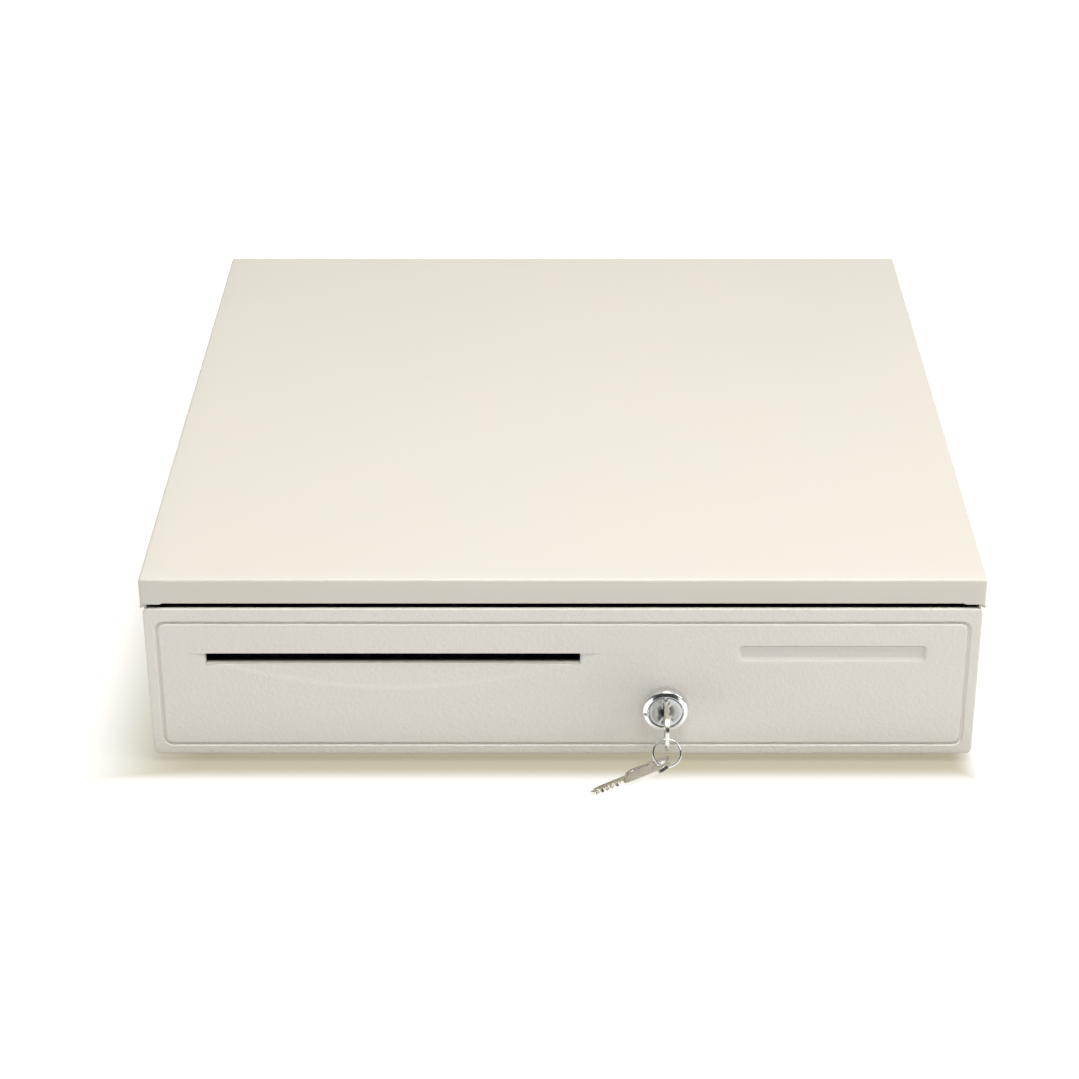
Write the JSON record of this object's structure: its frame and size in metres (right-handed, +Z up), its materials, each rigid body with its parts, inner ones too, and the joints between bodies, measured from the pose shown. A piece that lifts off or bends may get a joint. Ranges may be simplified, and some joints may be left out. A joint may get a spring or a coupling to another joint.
{
  "type": "cash drawer",
  "caption": "Low steel cash drawer with a folded lid casing, moulded front with media slot and key lock, sliding till tray with note clips and coin cups.",
  "frame": {"origin": "centre of the base plate's underside, 3 mm above the counter the feet stand on", "axes": "+X to the right when facing the front panel, -Y out of the front, +Z up"},
  "size_m": [0.41, 0.4574, 0.1037],
  "materials": {
    "cream_paint": "fine satin powder coat, warm cream",
    "warm_plastic": "fine moulded grain, warm grey-white",
    "zinc_steel": "bright zinc plate",
    "chrome": "polished chrome plate",
    "key_nickel": "nickel plate, stamped and lightly rubbed",
    "till_plastic": "black moulded plastic with a fine grain",
    "clip_plastic": "black moulded plastic, satin",
    "rubber": "matt moulded rubber",
    "coil_tape": "amber winding tape",
    "spring_steel": "drawn spring wire, lightly oiled",
    "black_plastic": "black moulded plastic"
  },
  "bodies": {
    "casing": {"case_cover": "cream_paint", "case_base": "cream_paint", "foot_fl": "rubber", "foot_fr": "rubber", "foot_rl": "rubber", "foot_rr": "rubber", "foot_screw_fl": "zinc_steel", "foot_screw_fr": "zinc_steel", "foot_screw_rl": "zinc_steel", "foot_screw_rr": "zinc_steel", "case_screw_1": "zinc_steel", "case_screw_2": "zinc_steel", "case_screw_3": "zinc_steel", "case_screw_4": "zinc_steel", "slide_outer_left": "zinc_steel", "slide_outer_right": "zinc_steel", "latch_bracket": "zinc_steel", "lock_keeper": "zinc_steel", "solenoid_frame": "zinc_steel", "solenoid_coil": "coil_tape", "spring_post": "zinc_steel", "eject_spring": "spring_steel", "microswitch": "black_plastic", "jack_socket": "black_plastic"},
    "slide_middle_left": {"slide_middle_left": "zinc_steel"},
    "slide_middle_right": {"slide_middle_right": "zinc_steel"},
    "drawer": {"drawer_pan": "zinc_steel", "front_panel": "warm_plastic", "media_chute": "zinc_steel", "panel_screw_1": "zinc_steel", "panel_screw_2": "zinc_steel", "panel_screw_3": "zinc_steel", "panel_screw_4": "zinc_steel", "slide_inner_left": "zinc_steel", "slide_inner_right": "zinc_steel", "till_ledge_left": "zinc_steel", "till_ledge_right": "zinc_steel", "till_tray": "till_plastic", "coin_tray": "till_plastic", "note_divider_1": "till_plastic", "note_divider_2": "till_plastic", "note_divider_3": "till_plastic", "note_divider_4": "till_plastic", "clip_axle": "zinc_steel", "striker": "zinc_steel", "lock_housing": "chrome", "lock_nut": "zinc_steel"},
    "note_clip_1": {"note_clip_1": "clip_plastic"},
    "note_clip_2": {"note_clip_2": "clip_plastic"},
    "note_clip_3": {"note_clip_3": "clip_plastic"},
    "note_clip_4": {"note_clip_4": "clip_plastic"},
    "note_clip_5": {"note_clip_5": "clip_plastic"},
    "lock": {"lock_plug": "chrome", "lock_cam": "zinc_steel", "cam_screw": "zinc_steel"},
    "key": {"key": "key_nickel"},
    "key_ring": {"key_ring": "chrome"},
    "spare_key": {"spare_key": "key_nickel"},
    "latch_lever": {"latch_lever": "zinc_steel"},
    "solenoid_plunger": {"solenoid_plunger": "spring_steel"}
  },
  "joints": [
    {"name": "drawer_slide", "type": "slide", "parent": "casing", "child": "drawer", "axis": [0, -1, 0], "range_m": [0, 0.3]},
    {"name": "middle_left_slide", "type": "slide", "parent": "casing", "child": "slide_middle_left", "axis": [0, -1, 0], "range_m": [0, 0.15]},
    {"name": "middle_right_slide", "type": "slide", "parent": "casing", "child": "slide_middle_right", "axis": [0, -1, 0], "range_m": [0, 0.15]},
    {"name": "note_clip_1_hinge", "type": "hinge", "parent": "drawer", "child": "note_clip_1", "pos_m": [-0.14744, 0.126, 0.066], "axis": [-1, 0, 0], "range_deg": [0, 28]},
    {"name": "note_clip_2_hinge", "type": "hinge", "parent": "drawer", "child": "note_clip_2", "pos_m": [-0.07372, 0.126, 0.066], "axis": [-1, 0, 0], "range_deg": [0, 28]},
    {"name": "note_clip_3_hinge", "type": "hinge", "parent": "drawer", "child": "note_clip_3", "pos_m": [0, 0.126, 0.066], "axis": [-1, 0, 0], "range_deg": [0, 28]},
    {"name": "note_clip_4_hinge", "type": "hinge", "parent": "drawer", "child": "note_clip_4", "pos_m": [0.07372, 0.126, 0.066], "axis": [-1, 0, 0], "range_deg": [0, 28]},
    {"name": "note_clip_5_hinge", "type": "hinge", "parent": "drawer", "child": "note_clip_5", "pos_m": [0.14744, 0.126, 0.066], "axis": [-1, 0, 0], "range_deg": [0, 28]},
    {"name": "lock_turn", "type": "hinge", "parent": "drawer", "child": "lock", "pos_m": [0.0507, -0.21, 0.0287], "axis": [0, 1, 0], "range_deg": [0, 90]},
    {"name": "key_withdraw", "type": "slide", "parent": "lock", "child": "key", "axis": [0, -1, 0], "range_m": [0, 0.022]},
    {"name": "ring_swing", "type": "hinge", "parent": "key", "child": "key_ring", "pos_m": [0.0507, -0.2325, 0.023], "axis": [0, 1, 0], "range_deg": [-90, 0]},
    {"name": "spare_swing", "type": "hinge", "parent": "key_ring", "child": "spare_key", "pos_m": [0.0473, -0.23904, 0.01522], "axis": [0, 1, 0], "range_deg": [0, 10]},
    {"name": "latch_turn", "type": "hinge", "parent": "casing", "child": "latch_lever", "pos_m": [0, 0.178, 0.066], "axis": [1, 0, 0], "range_deg": [0, 14]},
    {"name": "plunger_slide", "type": "slide", "parent": "casing", "child": "solenoid_plunger", "axis": [0, 0, 1], "range_m": [0, 0.0043]}
  ],
  "couplings": [
    {"joint": "middle_left_slide", "follows": "drawer_slide", "ratio": 0.5},
    {"joint": "middle_right_slide", "follows": "drawer_slide", "ratio": 0.5},
    {"joint": "ring_swing", "follows": "lock_turn", "ratio": -1},
    {"joint": "plunger_slide", "follows": "latch_turn", "m_per_rad": 0.0176}
  ]
}
